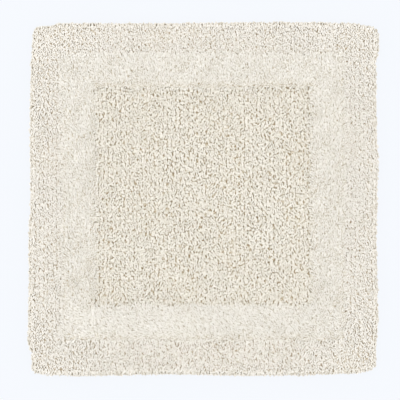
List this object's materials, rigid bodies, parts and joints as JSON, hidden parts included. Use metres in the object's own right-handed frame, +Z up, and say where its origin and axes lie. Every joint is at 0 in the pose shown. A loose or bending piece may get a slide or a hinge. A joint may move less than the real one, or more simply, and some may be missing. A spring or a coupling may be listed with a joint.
{
  "type": "bath mat",
  "caption": "Square tufted cotton bath mat with a looped middle, a plush cut-pile frame, a looped border and a taped cloth back.",
  "frame": {"origin": "on the floor, under the middle of the mat's bounding box", "axes": "+Z up through the pile, +Y along the yarn rows, which is the slightly longer side, +X across the rows"},
  "size_m": [0.602, 0.611, 0.02],
  "materials": {
    "cotton_loops": "matte",
    "cotton_plush": "matte",
    "primary_cloth": "matte",
    "latex": "matte",
    "backing_cloth": "matte",
    "hem_tape": "matte",
    "sewing_thread": "satin",
    "label_ribbon": "satin"
  },
  "bodies": {
    "root": {"border_loop_pile": "cotton_loops", "centre_loop_pile": "cotton_loops", "cut_pile_frame": "cotton_plush", "tufted_primary_cloth": "primary_cloth", "latex_coat": "latex", "secondary_backing_cloth": "backing_cloth", "care_label": "label_ribbon", "hem_tape_front": "hem_tape", "hem_stitching_front": "sewing_thread", "hem_tape_right": "hem_tape", "hem_stitching_right": "sewing_thread", "hem_tape_back": "hem_tape", "hem_stitching_back": "sewing_thread", "hem_tape_left": "hem_tape", "hem_stitching_left": "sewing_thread"}
  },
  "joints": []
}
